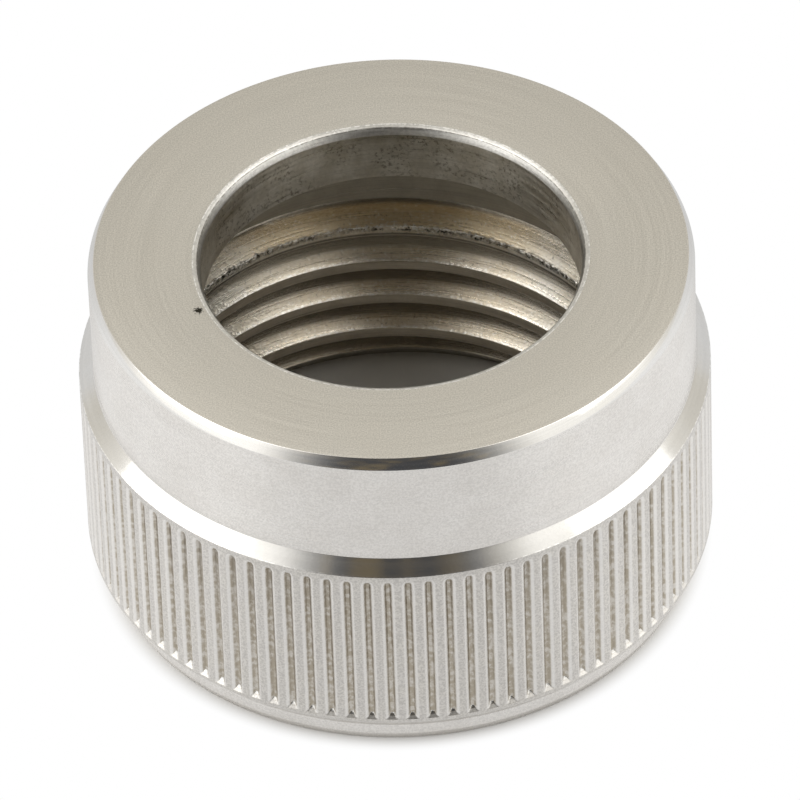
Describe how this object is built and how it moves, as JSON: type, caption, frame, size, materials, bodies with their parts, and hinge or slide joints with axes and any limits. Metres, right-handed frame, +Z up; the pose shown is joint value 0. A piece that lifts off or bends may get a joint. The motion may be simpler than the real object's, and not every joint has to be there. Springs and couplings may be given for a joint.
{
  "type": "retaining nut",
  "caption": "Knurled stainless steel retaining nut: a straight-knurled sleeve with an internal pipe thread below and a plain-bored flange on top that clamps what passes through it.",
  "frame": {"origin": "centre of the nut's lower end face, on its axis", "axes": "+Z up along the axis of the nut, from the open threaded end towards the flange with the plain bore; the reference picture looks along +Y from above"},
  "size_m": [0.0248, 0.0248, 0.0148],
  "materials": {
    "stainless_steel": "fine-turned satin stainless steel, polished on the bevels"
  },
  "bodies": {
    "root": {"retaining_nut": "stainless_steel"}
  },
  "joints": []
}
